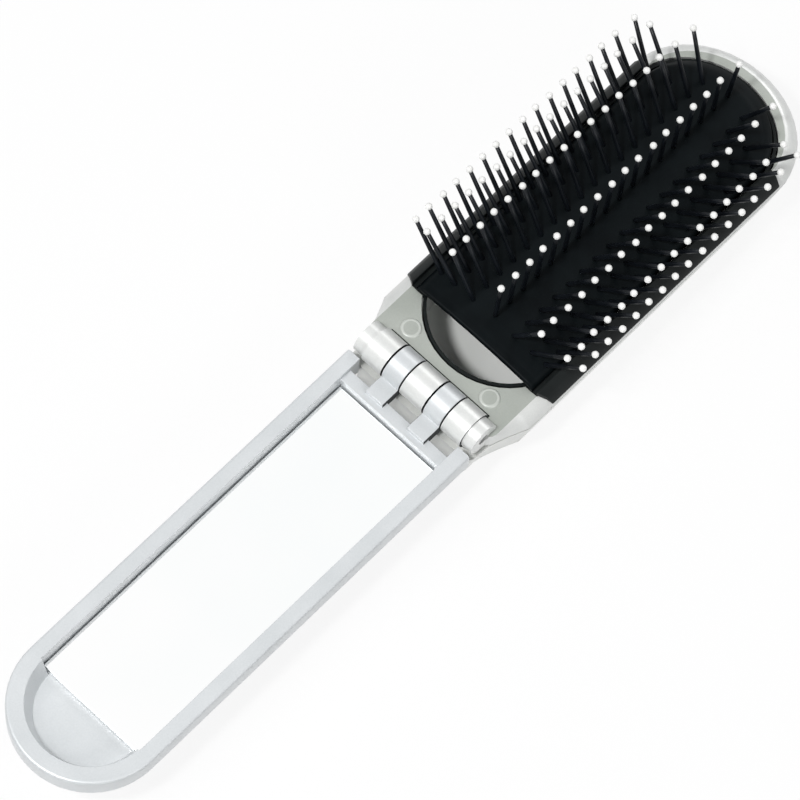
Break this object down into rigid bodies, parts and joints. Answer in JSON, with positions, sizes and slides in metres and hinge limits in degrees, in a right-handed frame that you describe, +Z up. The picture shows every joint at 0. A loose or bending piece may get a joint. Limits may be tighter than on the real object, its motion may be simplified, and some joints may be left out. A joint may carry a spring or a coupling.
{
  "type": "folding travel brush",
  "caption": "Pocket hair brush that opens from a mirror-lined handle; ball-tipped pins stand in an arched black pad and sink into the head when it folds.",
  "frame": {"origin": "middle of the open brush's bounding box, on the surface that it lies on", "axes": "+X towards the rounded end of the head, +Y to the left seen from the handle's end, +Z up, out of the bristles"},
  "size_m": [0.1824, 0.0398, 0.0287],
  "materials": {
    "silver_shell": "satin silver paint on ABS",
    "silver_frame": "satin silver paint on ABS",
    "silver_handle": "satin silver paint on ABS",
    "black_trim": "satin black ABS",
    "black_pad": "satin black rubber",
    "black_pins": "moulded black nylon with dipped white tips",
    "carrier_plastic": "moulded black acetal",
    "steel_pin": "drawn steel wire",
    "mirror": "silvered glass with ground edges",
    "tape": "white foam tape"
  },
  "bodies": {
    "head": {"back_shell": "silver_shell", "head_frame": "silver_frame", "frame_stud_left": "silver_frame", "frame_stud_right": "silver_frame", "pad_trim": "black_trim", "side_flange_left": "black_trim", "side_flange_right": "black_trim", "bristle_pad": "black_pad", "hinge_pin": "steel_pin"},
    "handle": {"handle_frame": "silver_handle", "mirror_glass": "mirror", "mirror_tape": "tape"},
    "carrier": {"pin_carrier": "carrier_plastic", "pin_row_centre": "black_pins"},
    "row_inner_left": {"pin_row_inner_left": "black_pins"},
    "row_inner_right": {"pin_row_inner_right": "black_pins"},
    "row_middle_left": {"pin_row_middle_left": "black_pins"},
    "row_middle_right": {"pin_row_middle_right": "black_pins"},
    "row_outer_left": {"pin_row_outer_left": "black_pins"},
    "row_outer_right": {"pin_row_outer_right": "black_pins"}
  },
  "joints": [
    {"name": "fold", "type": "hinge", "parent": "head", "child": "handle", "pos_m": [0.0042, 0, 0.01505], "axis": [0, 1, 0], "range_deg": [0, 180]},
    {"name": "pin_lift", "type": "slide", "parent": "head", "child": "carrier", "axis": [0, 0, -1], "range_m": [0, 0.012], "deforming": ["bristle_pad"]},
    {"name": "inner_left_swing", "type": "hinge", "parent": "carrier", "child": "row_inner_left", "pos_m": [0.0212, 0.00381, 0.01526], "axis": [1, 0, 0], "range_deg": [0, 32]},
    {"name": "inner_right_swing", "type": "hinge", "parent": "carrier", "child": "row_inner_right", "pos_m": [0.0212, -0.00381, 0.01526], "axis": [1, 0, 0], "range_deg": [-32, 0]},
    {"name": "middle_left_swing", "type": "hinge", "parent": "carrier", "child": "row_middle_left", "pos_m": [0.0212, 0.00779, 0.0152], "axis": [1, 0, 0], "range_deg": [0, 45]},
    {"name": "middle_right_swing", "type": "hinge", "parent": "carrier", "child": "row_middle_right", "pos_m": [0.0212, -0.00779, 0.0152], "axis": [1, 0, 0], "range_deg": [-45, 0]},
    {"name": "outer_left_swing", "type": "hinge", "parent": "carrier", "child": "row_outer_left", "pos_m": [0.0212, 0.01089, 0.01491], "axis": [1, 0, 0], "range_deg": [0, 46]},
    {"name": "outer_right_swing", "type": "hinge", "parent": "carrier", "child": "row_outer_right", "pos_m": [0.0212, -0.01089, 0.01491], "axis": [1, 0, 0], "range_deg": [-46, 0]}
  ],
  "couplings": [
    {"joint": "pin_lift", "follows": "fold", "m_per_rad": 0.003819},
    {"joint": "inner_left_swing", "follows": "fold", "ratio": 0.1777},
    {"joint": "inner_right_swing", "follows": "fold", "ratio": -0.1777},
    {"joint": "middle_left_swing", "follows": "fold", "ratio": 0.2499},
    {"joint": "middle_right_swing", "follows": "fold", "ratio": -0.2499},
    {"joint": "outer_left_swing", "follows": "fold", "ratio": 0.2555},
    {"joint": "outer_right_swing", "follows": "fold", "ratio": -0.2555}
  ]
}
